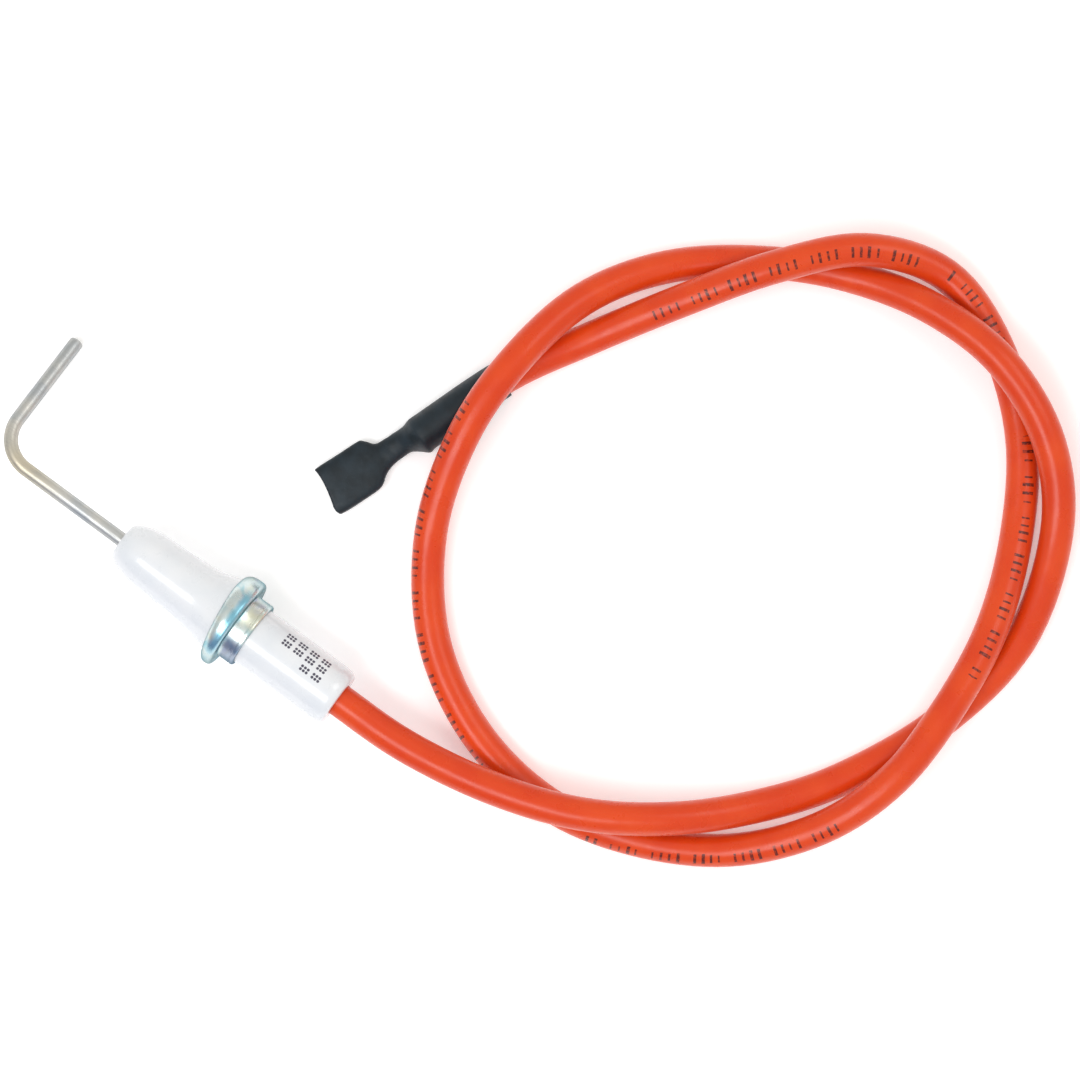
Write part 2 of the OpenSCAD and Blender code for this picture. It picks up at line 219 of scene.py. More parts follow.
replaced_nodes = set()


def place(piece, node, material):
    """The piece stands for a CAD node, which it hides, and takes the given material."""
    replaced_nodes.add(node)
    piece.data.materials.append(material)
    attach(piece, BODY)
    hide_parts(node)
    return piece


# ---------------------------------------------------------------- material helpers

MIX_FIRST, MIX_SECOND, MIX_RESULT = 6, 7, 2    # colour sockets of a Mix node
PER_MM = (1 / MM, 1 / MM, 1 / MM)              # scale for coordinates in millimetres


class Nodes:
    """Short ways to add shader nodes to a tree."""

    def __init__(self, tree):
        self.tree = tree

    def add(self, kind, inputs=None, **settings):
        node = self.tree.nodes.new("ShaderNode" + kind)
        for key, value in settings.items():
            setattr(node, key, value)
        for key, value in (inputs or {}).items():
            self.give(node.inputs[key], value)
        return node

    def give(self, socket, value):
        if isinstance(value, bpy.types.NodeSocket):
            self.tree.links.new(value, socket)
        else:
            socket.default_value = value

    def math(self, operation, *values):
        node = self.add("Math", operation=operation)
        for socket, value in zip(node.inputs, values):
            self.give(socket, value)
        return node.outputs[0]

    def place(self, scale=(1, 1, 1)):
        """The object's coordinates, in metres, scaled."""
        at = self.add("TexCoord").outputs["Object"]
        return self.add("Mapping", {"Vector": at, "Scale": scale}).outputs[0]

    def noise(self, size, detail=3, stretch=(1, 1, 1), distortion=0):
        """Noise from 0 to 1 whose features are about size metres."""
        at = self.place(tuple(s / size for s in stretch))
        return self.add("TexNoise", {"Vector": at, "Scale": 1, "Detail": detail,
                                     "Distortion": distortion}).outputs[0]

    def ramp(self, value, low, high, start=0.0, end=1.0):
        """value from low..high mapped to start..end, held at both ends."""
        return self.add("MapRange", {"Value": value, "From Min": low, "From Max": high,
                                     "To Min": start, "To Max": end}).outputs[0]

    def mix(self, share, first, second):
        """A colour between two others."""
        node = self.add("Mix", {"Factor": share}, data_type="RGBA")
        self.give(node.inputs[MIX_FIRST], first)
        self.give(node.inputs[MIX_SECOND], second)
        return node.outputs[MIX_RESULT]

    def bump(self, height, distance, strength, below=None):
        """A bumped normal, on top of the one below."""
        inputs = {"Height": height, "Distance": distance, "Strength": strength}
        if below is not None:
            inputs["Normal"] = below
        return self.add("Bump", inputs).outputs[0]

    def attribute(self, name):
        return self.add("Attribute", attribute_name=name).outputs["Fac"]


class Finish(Nodes):
    """A new material and its nodes."""

    def __init__(self, name):
        self.material = bpy.data.materials.new(name)
        self.material.use_nodes = True
        super().__init__(self.material.node_tree)
        self.surface = self.tree.nodes["Principled BSDF"]

    def made(self, **values):
        """The material, with the surface's sockets set; their names have _ for a space."""
        for key, value in values.items():
            self.give(self.surface.inputs[key.replace("_", " ")], value)
        return self.material


def rgb(red, green, blue):
    """A colour from its 0 to 255 display values."""
    linear = [(c / 255 / 12.92 if c <= 10 else ((c / 255 + 0.055) / 1.055) ** 2.4)
              for c in (red, green, blue)]
    return (*linear, 1)


# ---------------------------------------------------------------- cable jacket

JACKET_SIDES = 40
# Runs of print on the jacket: start and end, in metres from the cut end, and the angle
# round the cable at each: 90 is on top.
PRINT_RUNS = [(0.3595, 0.405, 138, 140), (0.405, 0.445, 140, 155), (0.462, 0.49, 150, 120),
              (0.49, 0.519, 120, 110), (0.557, 0.59, 101, 112), (0.59, 0.612, 112, 104),
              (0.628, 0.65, 108, 92), (0.655, 0.716, 76, 70)]
PRINT_PITCH = 1.7 * MM
PRINT_HEIGHT = 2.6 * MM
PRINT_WORD = 5             # pitches from one gap in the print to the next
TICK_HEIGHTS = (0.65, 1.0) # shares of the print's height
TICK_WIDTHS = (0.2, 0.4)   # shares of the pitch
JACKET_SWELL = 0.012       # how much thinner the jacket gets in places
JACKET_SWELL_RUN = 19 * MM
JACKET_LIP = 0.25 * MM     # how far the cut ends are rounded


def print_distance(at, angles):
    """How far each place on the jacket is from the middle of the print, round the cable."""
    far = np.full((len(at), len(angles)), math.pi * CABLE_R)
    for start, end, first, last in PRINT_RUNS:
        inside = (at >= start) & (at <= end)
        middle = np.radians(np.interp(at, [start, end], [first, last]))
        apart = np.abs((angles[None] - middle[:, None] + math.pi) % math.tau - math.pi)
        far[inside] = apart[inside] * CABLE_R
    return far


def silicone():
    n = Finish("orange_silicone")
    cloud = n.noise(9 * MM, 3)
    grain = n.noise(0.35 * MM, 2)
    colour = n.mix(n.ramp(cloud, 0.35, 0.65), rgb(209, 60, 14), rgb(216, 70, 19))
    colour = n.mix(n.ramp(grain, 0.62, 0.8, 0, 0.25), colour, rgb(226, 96, 60))
    along = n.math("DIVIDE", n.attribute("print_along"), PRINT_PITCH)
    cell = n.math("FLOOR", along)
    pick = n.add("TexWhiteNoise", {"W": cell}, noise_dimensions="1D").outputs[0]
    across = n.math("DIVIDE", n.attribute("print_off"), PRINT_HEIGHT / 2)
    tall = n.math("LESS_THAN", across, n.ramp(pick, 0, 1, *TICK_HEIGHTS))
    wide = n.math("LESS_THAN", n.math("FRACT", along), n.ramp(pick, 0, 1, *TICK_WIDTHS))
    gap = n.math("GREATER_THAN", n.math("FRACT", n.math("DIVIDE", cell, PRINT_WORD)), 0.1)
    worn = n.ramp(n.noise(0.5 * MM, 2), 0.38, 0.5, 0.5, 0.92)
    ink = n.math("MULTIPLY", n.math("MULTIPLY", tall, wide), n.math("MULTIPLY", gap, worn))
    colour = n.mix(ink, colour, rgb(70, 26, 24))
    rough = n.ramp(n.noise(4 * MM, 3), 0.3, 0.7, 0.25, 0.35)
    normal = n.bump(grain, 0.03 * MM, 0.35)
    normal = n.bump(n.noise(6 * MM, 2), 0.4 * MM, 0.25, normal)
    return n.made(Base_Color=colour, Roughness=rough, Normal=normal,
                  Specular_IOR_Level=0.35, Sheen_Weight=0.36, Sheen_Roughness=0.35,
                  Sheen_Tint=rgb(255, 200, 190), Subsurface_Weight=0.1,
                  Subsurface_Radius=(1, 0.3, 0.15), Subsurface_Scale=0.002)


def make_jacket():
    angles = np.arange(JACKET_SIDES) * math.tau / JACKET_SIDES
    swell = 1 - JACKET_SWELL * (0.5 + 0.5 * np.sin(cable_at / JACKET_SWELL_RUN))
    outer = tube_rings(cable_line, CABLE_R * swell, JACKET_SIDES)
    inner = tube_rings(cable_line, np.full(len(cable_line), CORE_R), JACKET_SIDES)
    for end in (0, -1):
        outer[end] += (inner[end] - outer[end]) * JACKET_LIP / (CABLE_R - CORE_R)
    rings = np.concatenate([outer, inner[::-1]])
    off = print_distance(cable_at, angles)
    off = np.concatenate([off, np.full_like(off, math.pi * CABLE_R)])
    along = np.repeat(cable_at[:, None], JACKET_SIDES, 1)
    along = np.concatenate([along, along[::-1]])
    return skin("jacket", rings, joined=True,
                attributes={"print_off": off, "print_along": along})


jacket = place(make_jacket(), "cable_jacket", silicone())

# ---------------------------------------------------------------- terminal and sleeve

JACKET_STOP = 22.6 * MM    # from the terminal's mouth to the cut end of the jacket
SLEEVE_WALL = 0.45 * MM
SLEEVE_SIDES = 56
SLEEVE_STEPS = 7
SLEEVE_EDGE = 0.12 * MM    # how far the rounded edge stands past the last ring
SLEEVE_EDGE_PULL = 0.3     # how far the last ring is drawn towards that edge
CRIMP_X, CRIMP_RUN = 16.5 * MM, 4.5 * MM       # shrink wrinkles over the wire crimp
WRINKLE, WRINKLE_PITCH = 0.03 * MM, 0.42 * MM
NECK_X, NECK_RUN, NECK_FOLD = 11.8 * MM, 3 * MM, 0.05 * MM
NECK_FOLDS = 5             # round the sleeve
SADDLE_X, SADDLE_RUN = 21.3 * MM, 4.5 * MM
HOLLOW_RUN = 3 * MM        # how soon the mouth's hollow cut fades

# Sleeve outline, in mm: from the terminal's mouth; left and right edges; top and bottom,
# from the height of the jacket's end; squareness.
SLEEVE_OUTLINE = [
    [-0.6, 6.6, -4.3, -0.65, -4.3, 3.6], [2, 6.6, -4.5, -0.5, -4.34, 3.4],
    [5.5, 6.5, -4.55, -0.45, -4.34, 3.2], [9.2, 6.45, -4.5, -0.45, -4.34, 3],
    [10.8, 6.4, -3.95, -0.5, -4.34, 2.9], [11.7, 6.25, -3.2, -0.55, -4.34, 2.8],
    [12.6, 5.4, -2.6, -0.7, -4.33, 2.6], [13.6, 4.2, -2.2, -0.85, -4.32, 2.4],
    [14.8, 3.75, -1.85, -0.85, -4.3, 2.3], [16.5, 3.7, -1.7, -0.7, -4.3, 2.2],
    [18, 3.65, -1.65, -0.25, -4.3, 2.1], [19.5, 3.6, -1.85, 0.6, -4.32, 2],
    [20.9, 3.6, -2.8, 1.9, -4.33, 2], [22, 3.9, -3.8, 3.3, -4.33, 2],
    [22.8, 4.05, -4.2, 3.85, -4.33, 2], [24, 4.05, -4, 4.03, -4.33, 2],
    [27, 4.05, -4.03, 4.03, -4.25, 2], [34, 4.03, -4.03, 4.03, -4.05, 2],
    [43.5, 4.0, -4.0, 4.0, -4.0, 2],
]
# How far back the sleeve's mouth is cut, as [across, back] in mm.
MOUTH_CUT = np.array([[-4.3, 0.35], [-3.4, 0], [-2.4, 0], [-1.5, 0.3], [1.2, 0.9], [3, 1.15],
                      [4.5, 1.25], [5.7, 1.2], [6.8, 0.95]])

last_run = cable_line[-1] - ROUTE[-2]
plug_along = Vector((last_run[0], last_run[1], 0)).normalized()
plug_mouth = Vector(cable_line[-1]) + plug_along * JACKET_STOP


def sleeve_centre(x):
    """A point on the line that the sleeve follows, x metres from the terminal's mouth."""
    if x < JACKET_STOP:
        return np.array(plug_mouth - plug_along * x)
    back = cable_at[-1] - (x - JACKET_STOP)
    return np.array([np.interp(back, cable_at, cable_line[:, i]) for i in range(3)])


def hump(x, middle, run):
    """1 at the middle, and less away from it."""
    return math.exp(-((x - middle) / run) ** 2)


def sleeve_rings(inset):
    """Rings of the sleeve's surface, that far inside its outline."""
    stations = smooth(SLEEVE_OUTLINE, SLEEVE_STEPS)
    stations[:, :5] *= MM
    line = np.array([sleeve_centre(x) for x in stations[:, 0]])
    along, left, up = frames(line)
    a = np.arange(SLEEVE_SIDES) * math.tau / SLEEVE_SIDES
    rings = []
    for i, (x, l, r, t, b, n) in enumerate(stations):
        w, h = (l - r) / 2 - inset, (t - b) / 2 - inset
        # Its lower half is squarer under the terminal's saddle.
        n = np.where(np.sin(a) < 0, n * (1 + hump(x, SADDLE_X, SADDLE_RUN)), n)
        y = (l + r) / 2 + w * np.sign(np.cos(a)) * np.abs(np.cos(a)) ** (2 / n)
        z = (t + b) / 2 + h * np.sign(np.sin(a)) * np.abs(np.sin(a)) ** (2 / n)
        wrinkle = np.sin(x / WRINKLE_PITCH + 3 * np.cos(a + 0.6))
        out = WRINKLE * hump(x, CRIMP_X, CRIMP_RUN) * wrinkle
        out += NECK_FOLD * hump(x, NECK_X, NECK_RUN) * np.sin(NECK_FOLDS * a)
        y, z = y + out * np.cos(a), z + out * np.sin(a)
        cut = np.interp(y / MM, *MOUTH_CUT.T) * MM
        hollow = cut * math.exp(-(x - stations[0][0]) / HOLLOW_RUN)
        ring = line[i] + y[:, None] * left[i] + z[:, None] * up[i]
        rings.append(ring + hollow[:, None] * along[i])
    return np.array(rings)


def make_sleeve():
    outer, inner = sleeve_rings(0), sleeve_rings(SLEEVE_WALL)
    lip = (outer[[0, -1]] + inner[[0, -1]]) / 2
    for k, end, beside in ((0, 0, 1), (1, -1, -2)):
        inward = outer[beside] - outer[end]
        inward /= np.linalg.norm(inward, axis=1)[:, None]
        for ring in (outer, inner):
            ring[end] += (lip[k] - ring[end]) * SLEEVE_EDGE_PULL
        lip[k] -= inward * SLEEVE_EDGE
    rings = np.concatenate([outer, lip[1:], inner[::-1], lip[:1]])
    return skin("heat_shrink", rings, joined=True, sharp=60)


def heat_shrink():
    n = Finish("blue_black_heat_shrink")
    cloud = n.noise(3 * MM, 4)
    colour = n.mix(n.ramp(cloud, 0.35, 0.68), rgb(20, 30, 36), rgb(29, 41, 49))
    dust = n.noise(0.25 * MM, 2)
    colour = n.mix(n.ramp(dust, 0.7, 0.82, 0, 0.25), colour, rgb(90, 100, 106))
    rough = n.ramp(n.noise(1.2 * MM, 3), 0.3, 0.7, 0.4, 0.55)
    normal = n.bump(n.noise(0.6 * MM, 3), 0.06 * MM, 0.4)
    normal = n.bump(n.noise(2.6 * MM, 2, stretch=(1, 0.4, 1)), 0.3 * MM, 0.35, normal)
    return n.made(Base_Color=colour, Roughness=rough, Normal=normal,
                  Specular_IOR_Level=0.3)


place(make_sleeve(), "heat_shrink_sleeve", heat_shrink())

# ---------------------------------------------------------------- sensing rod

ROD_END_X = 4 * MM
ROD_TURN = math.radians(88)
ROD_BEND_R = 8 * MM
ROD_SIDES = 48
ROD_LEG = 29 * MM          # from the corner to the tip
ROD_REACH = 33 * MM        # from the ceramic's nose to the corner
SHANK_STEPS, BEND_STEPS, LEG_STEPS = 24, 24, 15
BEND_THINNING = 0.02
TIP_CHAMFER = 0.4 * MM
# Rings of the tip: share of the chamfer's length from the tip, and how much thinner, in mm.
TIP_RINGS = np.array([[1, 0], [0.6, 0.08], [0.25, 0.2], [0, 0.42]])


def rod_line():
    """Centreline of the rod from inside the splice to its tip, as in the CAD."""
    tangent = ROD_BEND_R * math.tan(ROD_TURN / 2)
    bend_x = ceramic_low.x - ROD_REACH + tangent
    straight = ROD_LEG - tangent
    turn = np.linspace(0, ROD_TURN, BEND_STEPS + 1)
    bend = np.stack([bend_x - ROD_BEND_R * np.sin(turn), ROD_BEND_R * (1 - np.cos(turn))], 1)
    shank = np.linspace([ROD_END_X, 0], bend[0], SHANK_STEPS)[:-1]
    leg_way = np.array([-math.cos(ROD_TURN), math.sin(ROD_TURN)])
    leg = bend[-1] + leg_way * np.linspace(0, straight, LEG_STEPS + 1)[1:, None]
    flat = np.concatenate([shank, bend, leg])
    reach = math.hypot(leg[-1][1], ROD_R)
    droop = math.asin(-TABLE_Z / reach) - math.atan(ROD_R / leg[-1][1])
    x, y = flat.T
    return np.stack([x, y * math.cos(droop), -y * math.sin(droop)], 1)


def make_rod():
    line = rod_line()
    tip = line[-1]
    way = (tip - line[-2]) / np.linalg.norm(tip - line[-2])
    chamfer = [tip - way * TIP_CHAMFER * share for share in TIP_RINGS[:, 0]]
    line = np.concatenate([line[:-1], chamfer])
    radii = np.full(len(line), ROD_R)
    radii[-len(TIP_RINGS):] -= TIP_RINGS[:, 1] * MM
    # A bent rod is a little thinner round its corner.
    thinner = 1 - BEND_THINNING * np.sin(np.linspace(0, math.pi, BEND_STEPS))
    radii[SHANK_STEPS:SHANK_STEPS + BEND_STEPS] *= thinner
    at = np.repeat(lengths(line)[:, None], ROD_SIDES, 1)
    rings = tube_rings(line, radii, ROD_SIDES)
    return skin("rod", rings, attributes={"rod_along": at}, sharp=50)


HEAT_TINT_AT = 60.5 * MM   # along the rod from its inner end: where the bend starts


def satin_steel():
    n = Finish("satin_electrode_steel")
    streak = n.noise(0.3 * MM, 4, stretch=(0.06, 1, 1))
    patch = n.noise(5 * MM, 3)
    colour = n.mix(n.ramp(patch, 0.35, 0.65), rgb(182, 186, 188), rgb(202, 201, 196))
    from_tint = n.math("SUBTRACT", n.attribute("rod_along"), HEAT_TINT_AT)
    tint = n.ramp(n.math("ABSOLUTE", from_tint), 2 * MM, 11 * MM, 0.6, 0)
    colour = n.mix(tint, colour, rgb(206, 192, 160))
    colour = n.mix(n.ramp(streak, 0.55, 0.75, 0, 0.35), colour, rgb(150, 150, 152))
    pits = n.add("TexVoronoi", {"Vector": n.place(PER_MM), "Scale": 1.6}).outputs["Distance"]
    colour = n.mix(n.ramp(pits, 0.05, 0.11, 0.5, 0), colour, rgb(96, 92, 88))
    rough = n.ramp(streak, 0.3, 0.7, 0.4, 0.54)
    normal = n.bump(streak, 0.02 * MM, 0.5)
    normal = n.bump(n.noise(1.1 * MM, 3), 0.04 * MM, 0.4, normal)
    return n.made(Base_Color=colour, Metallic=1, Roughness=rough, Normal=normal,
                  Anisotropic=0.2, Specular_Tint=rgb(150, 154, 158))


place(make_rod(), "sensing_rod", satin_steel())

# ---------------------------------------------------------------- ceramic insulator

FLANGE_R = bushing_high.z
RIM_ROUND = 0.9 * MM
DOME_X = -5 * MM
LEAN_FADE = 7 * MM         # how far in front of the dome the lean ends
LEAN_LEAST = 0.28 * MM
LEAN_Y, LEAN_SLOPE = 6 * MM, 0.122             # it grows at this slope below this Y


def lean_dome(rings):
    """The flange is crimped a little askew: its dome is slimmer on the side away from the
    leg. The collar under it moves as far."""
    x, y = rings[..., 0], rings[..., 1]
    share = np.clip((-RIM_ROUND - x) / (-RIM_ROUND - DOME_X), 0, 1)
    share *= np.clip(1 - (DOME_X - x) / LEAN_FADE, 0, 1)
    leaned = rings.copy()
    leaned[..., 0] += share * (LEAN_LEAST + LEAN_SLOPE * np.maximum(LEAN_Y - y, 0))
    return leaned


TURNED_SIDES = 128
COLLAR_R = 9.5 * MM
COLLAR_FRONT = -4.65 * MM
COLLAR_WIDEST = -2 * MM
COLLAR_REAR = -0.75 * MM
COLLAR_LIP = 1 * MM
TAIL_R = 6.5 * MM
TAIL_ROUND = 2.6 * MM      # length of the rounded tail edge
TAIL_FACE_R = 5.3 * MM     # outer radius of the flat ring round the cable's mouth
MOUTH_ROUND = 0.3 * MM
NOSE_ROUND = 0.2 * MM
CERAMIC_CHAMFER = 0.4 * MM
ROD_BORE_R = 1.6 * MM
SPLICE_BORE_R = 2.6 * MM
CABLE_BORE_R = 3.6 * MM
SPLICE_BORE_X = (-4 * MM, 12 * MM)
POCKET_R = 2.1 * MM
POCKET_LEN = 2 * MM
# Nose outline: [share of the way from the nose to the collar, radius in mm].
NOSE_PROFILE = [[0, 3.6], [0.05, 4.7], [0.14, 5.6], [0.28, 6.1], [0.55, 6.4],
                [0.75, 6.8], [0.89, 7.5], [1, 8.5]]


def make_ceramic():
    nose_x, tail_x = ceramic_low.x, ceramic_high.x
    nose = np.array([[nose_x + (COLLAR_FRONT - nose_x) * share, r * MM]
                     for share, r in NOSE_PROFILE])
    nose = smooth(nose, 10)
    edge = arc((nose_x + NOSE_ROUND, POCKET_R + NOSE_ROUND), (NOSE_ROUND, NOSE_ROUND),
               270, 180, 5)
    collar = arc((COLLAR_WIDEST, COLLAR_R - COLLAR_LIP),
                 (COLLAR_WIDEST - COLLAR_FRONT, COLLAR_LIP), 180, 90)
    rear = [[COLLAR_REAR - CERAMIC_CHAMFER, COLLAR_R], [COLLAR_REAR, COLLAR_R - CERAMIC_CHAMFER]]
    plain = np.linspace([COLLAR_REAR, TAIL_R], [tail_x - TAIL_ROUND, TAIL_R], 20)
    tail = arc((tail_x - TAIL_ROUND, TAIL_FACE_R), (TAIL_ROUND, TAIL_R - TAIL_FACE_R), 90, 0)
    mouth = arc((tail_x - MOUTH_ROUND, CABLE_BORE_R + MOUTH_ROUND), (MOUTH_ROUND, MOUTH_ROUND),
                0, -90, 5)
    splice_low, splice_high = SPLICE_BORE_X
    bore = [[splice_high, CABLE_BORE_R], [splice_high, SPLICE_BORE_R],
            [splice_low, SPLICE_BORE_R], [splice_low, ROD_BORE_R]]
    pocket = [[nose_x + POCKET_LEN, ROD_BORE_R], [nose_x + POCKET_LEN, POCKET_R]]
    outline = np.concatenate([edge, nose[1:], collar[1:], rear, plain, tail[1:], mouth, bore,
                              pocket])
    return skin("ceramic", lean_dome(turned_rings(outline, TURNED_SIDES)), joined=True,
                sharp=35)


# Date mark on the tail: plain blocks of ink dots in three rows. Each row has its start
# along the axis and its middle round the tail from the top.
DATE_ROWS = ((9.8 * MM, 5.4 * MM), (9.8 * MM, 3.4 * MM), (15.9 * MM, 1.2 * MM))
DATE_END = 21.42 * MM
DATE_HEIGHT = 1.5 * MM
DOT_PITCH = 0.74 * MM
DOT_FADE = (0.38, 0.46)    # share of the pitch from a dot's middle, where its ink fades
BLOCK_DOTS = 4             # columns from one block to the next
BLOCK_FILL = 0.7           # share of them that has dots


def date_mark(n):
    """Where the date mark's ink is."""
    x, y, z = n.add("SeparateXYZ", {"Vector": n.place()}).outputs
    turn = n.math("MULTIPLY", n.math("ARCTAN2", y, z), TAIL_R)
    ink = 0
    for start, middle in DATE_ROWS:
        column = n.math("DIVIDE", n.math("SUBTRACT", x, start), DOT_PITCH)
        across = n.math("SUBTRACT", turn, middle)
        row = n.math("DIVIDE", across, DOT_PITCH)
        dx = n.math("SUBTRACT", n.math("FRACT", column), 0.5)
        dy = n.math("SUBTRACT", n.math("FRACT", row), 0.5)
        far = n.math("SQRT", n.math("ADD", n.math("MULTIPLY", dx, dx),
                                    n.math("MULTIPLY", dy, dy)))
        dot = n.ramp(far, *DOT_FADE, 1, 0)
        block = n.math("DIVIDE", n.math("FLOOR", column), BLOCK_DOTS)
        filled = n.math("LESS_THAN", n.math("FRACT", block), BLOCK_FILL)
        inside = n.math("MULTIPLY", n.math("GREATER_THAN", x, start),
                        n.math("LESS_THAN", x, DATE_END))
        near = n.math("LESS_THAN", n.math("ABSOLUTE", across), DATE_HEIGHT / 2)
        spot = n.math("MULTIPLY", n.math("MULTIPLY", dot, filled),
                      n.math("MULTIPLY", inside, near))
        ink = n.math("MAXIMUM", ink, spot)
    return ink


def porcelain():
    n = Finish("white_porcelain")
    cloud = n.noise(6 * MM, 3)
    colour = n.mix(n.ramp(cloud, 0.3, 0.7), rgb(216, 220, 225), rgb(224, 226, 229))
    ink = date_mark(n)
    colour = n.mix(n.math("MULTIPLY", ink, 0.95), colour, rgb(34, 24, 56))
    rough = n.ramp(n.noise(2.5 * MM, 3), 0.3, 0.7, 0.24, 0.36)
    return n.made(Base_Color=colour, Roughness=rough, Coat_Weight=0.6,
                  Coat_Roughness=0.05)


place(make_ceramic(), "ceramic_insulator", porcelain())

# ---------------------------------------------------------------- mounting bushing

BARREL_R = 7.4 * MM
SHEET = 0.7 * MM
DOME_FRONT = bushing_low.x
DOME_LIP_R = 8.6 * MM
DOME_LIP_ROUND = 0.15 * MM
BARREL_END = bushing_high.x
GROOVE_X = BARREL_END - 0.95 * MM
GROOVE_SIZE = (0.14 * MM, 0.09 * MM)           # half its width, and its depth
BARREL_EDGE = (0.4 * MM, 0.5 * MM)             # length and height of its rounding
BORE_ROUND = 0.1 * MM
COLLAR_GAP = 0.05 * MM     # between the sheet and the collar


def make_bushing():
    lip = arc((DOME_FRONT + DOME_LIP_ROUND, DOME_LIP_R), (DOME_LIP_ROUND, DOME_LIP_ROUND),
              270, 180, 5)
    dome = arc((COLLAR_WIDEST, DOME_LIP_R), (COLLAR_WIDEST - DOME_FRONT, FLANGE_R - DOME_LIP_R),
               180, 90, 20)
    rim = arc((-RIM_ROUND, FLANGE_R - RIM_ROUND), (RIM_ROUND, RIM_ROUND), 90, 0, 10)
    seat = [[0, BARREL_R + 0.12 * MM], [0.05 * MM, BARREL_R + 0.03 * MM], [0.12 * MM, BARREL_R]]
    groove = arc((GROOVE_X, BARREL_R), GROOVE_SIZE, 180, 360, 8)
    edge_len, edge_h = BARREL_EDGE
    edge = arc((BARREL_END - edge_len, BARREL_R - edge_h), BARREL_EDGE, 90, 0, 8)
    bore_r = BARREL_R - SHEET
    mouth = arc((BARREL_END - BORE_ROUND, bore_r + BORE_ROUND), (BORE_ROUND, BORE_ROUND),
                0, -90, 4)
    bore = [[-SHEET, bore_r], [-SHEET, COLLAR_R + COLLAR_GAP]]
    inner = arc((COLLAR_WIDEST, COLLAR_R - COLLAR_LIP + COLLAR_GAP),
                (COLLAR_WIDEST - COLLAR_FRONT + COLLAR_GAP, COLLAR_LIP), 90, 180)
    outline = np.concatenate([lip, dome[1:], rim, seat, groove, edge, mouth, bore, inner])
    return skin("bushing", lean_dome(turned_rings(outline, TURNED_SIDES)), joined=True,
                sharp=38)


def zinc_plate():
    n = Finish("blue_zinc_plate")
    film = n.noise(4 * MM, 3, distortion=0.6)
    colour = n.mix(n.ramp(film, 0.3, 0.5), rgb(158, 202, 212), rgb(214, 225, 224))
    colour = n.mix(n.ramp(film, 0.55, 0.72, 0, 0.55), colour, rgb(214, 210, 178))
    violet = n.noise(3 * MM, 2, stretch=(1, 0.7, 0.7))
    colour = n.mix(n.ramp(violet, 0.58, 0.75, 0, 0.5), colour, rgb(176, 170, 214))
    # Teal on the rim: partly the passivation film's own colour, partly painted reflection.
    x, y, _ = n.add("SeparateXYZ", {"Vector": n.place()}).outputs
    off_rim = n.math("ABSOLUTE", n.math("ADD", x, RIM_ROUND))
    middle = n.ramp(n.math("ABSOLUTE", y), 5.5 * MM, 8.5 * MM, 1, 0.15)
    teal_film_and_painted_reflection = n.math("MULTIPLY", n.ramp(off_rim, 0.4 * MM, 1.3 * MM, 0.8, 0), middle)
    colour = n.mix(teal_film_and_painted_reflection, colour, rgb(122, 190, 214))
    barrel = n.ramp(x, 0.3 * MM, 0.8 * MM)
    # Straw on the +Y side of the barrel: painted warm reflection.
    painted_warm_reflection = n.math("MULTIPLY", n.math("MULTIPLY", barrel, n.ramp(y, 0.2 * MM, 2 * MM, 0, 0.55)),
                   n.ramp(y, 4.5 * MM, 6 * MM, 1, 0))
    colour = n.mix(painted_warm_reflection, colour, rgb(226, 224, 196))
    # Violet-grey on the -Y side of the barrel: painted dark reflection.
    painted_dark_reflection = n.math("MULTIPLY", barrel, n.ramp(y, -2.2 * MM, -3.4 * MM, 0, 0.6))
    colour = n.mix(painted_dark_reflection, colour, rgb(120, 130, 166))
    turned = n.noise(0.12 * MM, 3, stretch=(1, 0.03, 0.03))
    rough = n.ramp(n.noise(1.5 * MM, 3), 0.3, 0.7, 0.25, 0.36)
    normal = n.bump(turned, 0.01 * MM, 0.3)
    normal = n.bump(n.noise(1.4 * MM, 3), 0.07 * MM, 0.35, normal)
    return n.made(Base_Color=colour, Metallic=1, Roughness=rough, Normal=normal,
                  Specular_Tint=rgb(140, 160, 166))


place(make_bushing(), "mounting_bushing", zinc_plate())

# ---------------------------------------------------------------- inner pieces


def cement():
    n = Finish("grey_white_cement")
    lumps = n.noise(0.5 * MM, 4)
    colour = n.mix(n.ramp(lumps, 0.3, 0.7), rgb(196, 192, 182), rgb(226, 223, 214))
    return n.made(Base_Color=colour, Roughness=n.ramp(lumps, 0.3, 0.7, 0.75, 0.95),
                  Normal=n.bump(lumps, 0.1 * MM, 0.6))


def stamped_brass():
    n = Finish("stamped_brass")
    tone = n.noise(2 * MM, 3)
    colour = n.mix(n.ramp(tone, 0.35, 0.65), rgb(206, 178, 104), rgb(222, 198, 130))
    scratch = n.noise(0.2 * MM, 4, stretch=(0.3, 0.1, 1))
    return n.made(Base_Color=colour, Metallic=1,
                  Roughness=n.ramp(scratch, 0.3, 0.7, 0.25, 0.45),
                  Normal=n.bump(scratch, 0.02 * MM, 0.5))


def tinned_strands():
    n = Finish("tinned_copper_strands")
    twist = n.add("TexWave", {"Vector": n.place(PER_MM), "Scale": 0.8,
                              "Distortion": 1.5, "Detail": 2}, bands_direction="DIAGONAL")
    strands = twist.outputs["Fac"]
    colour = n.mix(n.ramp(strands, 0.2, 0.8), rgb(150, 144, 136), rgb(214, 210, 202))
    return n.made(Base_Color=colour, Metallic=1, Roughness=0.35,
                  Normal=n.bump(strands, 0.2 * MM, 0.6))


def finish_nodes():
    """Materials of the CAD nodes that stay as they are."""
    made = {"cement": cement(), "brass": stamped_brass(), "tinned_copper": tinned_strands()}
    for part in frame["record"]["subparts"]:
        if part["node"] not in replaced_nodes:
            node = frame["nodes"][part["node"]]
            node.data.materials.clear()
            node.data.materials.append(made[part["material_slot"]])


finish_nodes()

# ---------------------------------------------------------------- stage

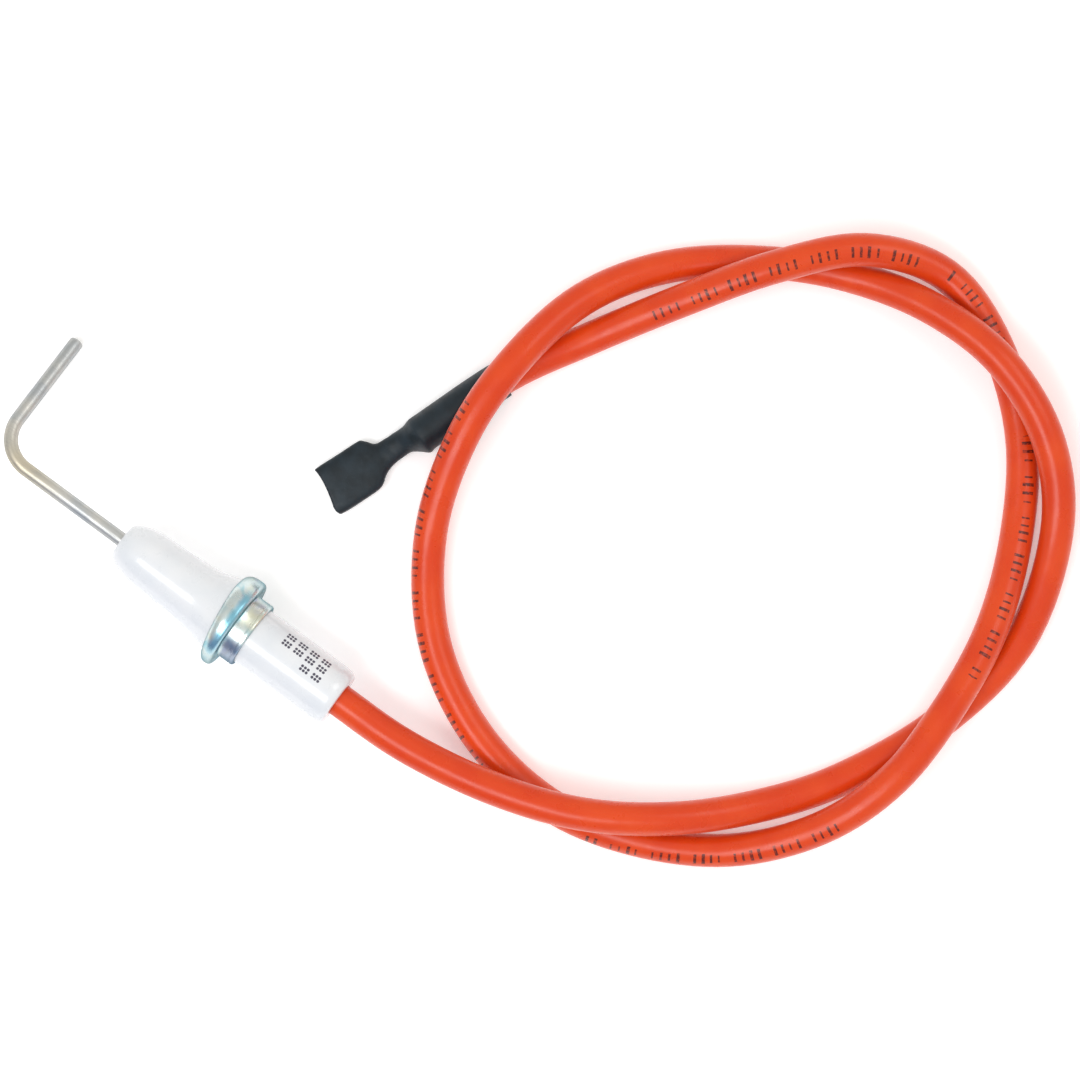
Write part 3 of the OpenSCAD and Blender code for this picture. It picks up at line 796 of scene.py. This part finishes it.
FLOOR_HALF = 3
FLOOR_GAP = 0.05 * MM      # under the object
FLOOR_GLOW = 0.28
ROOM_LIGHT = 0.74
ROOM_SEEN = 0.93           # its brightness where the camera sees it
WARM_SIDE = (1, 0.985, 0.95, 1)
VIOLET_SIDE = (0.42, 0.46, 0.62, 1)
SIDE_Y = (-0.45, -0.9)     # of the direction: where it goes from warm to violet


def add_floor():
    mesh = bpy.data.meshes.new("floor")
    corners = ((-1, -1), (1, -1), (1, 1), (-1, 1))
    mesh.from_pydata([(x * FLOOR_HALF, y * FLOOR_HALF, 0) for x, y in corners], [],
                     [(0, 1, 2, 3)])
    floor = bpy.data.objects.new("floor", mesh)
    floor.location.z = TABLE_Z - FLOOR_GAP
    bpy.context.scene.collection.objects.link(floor)
    n = Finish("paper_floor")
    tone = n.noise(0.05, 2)
    colour = n.mix(n.ramp(tone, 0.3, 0.7), rgb(244, 244, 245), rgb(246, 246, 246))
    floor.data.materials.append(n.made(Base_Color=colour, Roughness=0.75,
                                       Specular_IOR_Level=0.2, Emission_Color=colour,
                                       Emission_Strength=FLOOR_GLOW))


def add_softbox(name, where, size, power, colour=(1, 1, 1)):
    """An area light that faces the middle of the object."""
    data = bpy.data.lights.new(name, "AREA")
    data.shape = "RECTANGLE"
    data.size, data.size_y = size
    data.energy = power
    data.color = colour
    light = bpy.data.objects.new(name, data)
    light.location = where
    light.rotation_euler = (VIEW_TARGET - Vector(where)).to_track_quat("-Z", "Y").to_euler()
    light.visible_camera = False
    bpy.context.scene.collection.objects.link(light)


def add_world():
    """A pale room, darker and violet low on the side away from the rod's leg."""
    world = bpy.data.worlds.new("studio")
    world.use_nodes = True
    bpy.context.scene.world = world
    n = Nodes(world.node_tree)
    back = n.tree.nodes["Background"]
    way = n.add("SeparateXYZ", {"Vector": n.add("TexCoord").outputs["Generated"]})
    side = n.ramp(way.outputs["Y"], *SIDE_Y)
    n.give(back.inputs["Color"], n.mix(side, WARM_SIDE, VIOLET_SIDE))
    seen = n.add("LightPath").outputs["Is Camera Ray"]
    n.give(back.inputs["Strength"], n.ramp(seen, 0, 1, ROOM_LIGHT, ROOM_SEEN))


add_floor()
add_world()
# Softboxes, with their places and sizes in metres and their power in watts. The strip gives
# the glaze its crisp highlight.
add_softbox("key", (0.0, -0.48, 1.05), (0.9, 0.45), 6.2)
add_softbox("strip", (0.0, -0.42, 1.05), (0.9, 0.02), 0.7)
add_softbox("fill", (0.4, 0.75, 1.0), (0.6, 0.6), 2.5, (1.0, 0.98, 0.94))

bpy.context.scene.view_settings.view_transform = "Standard"
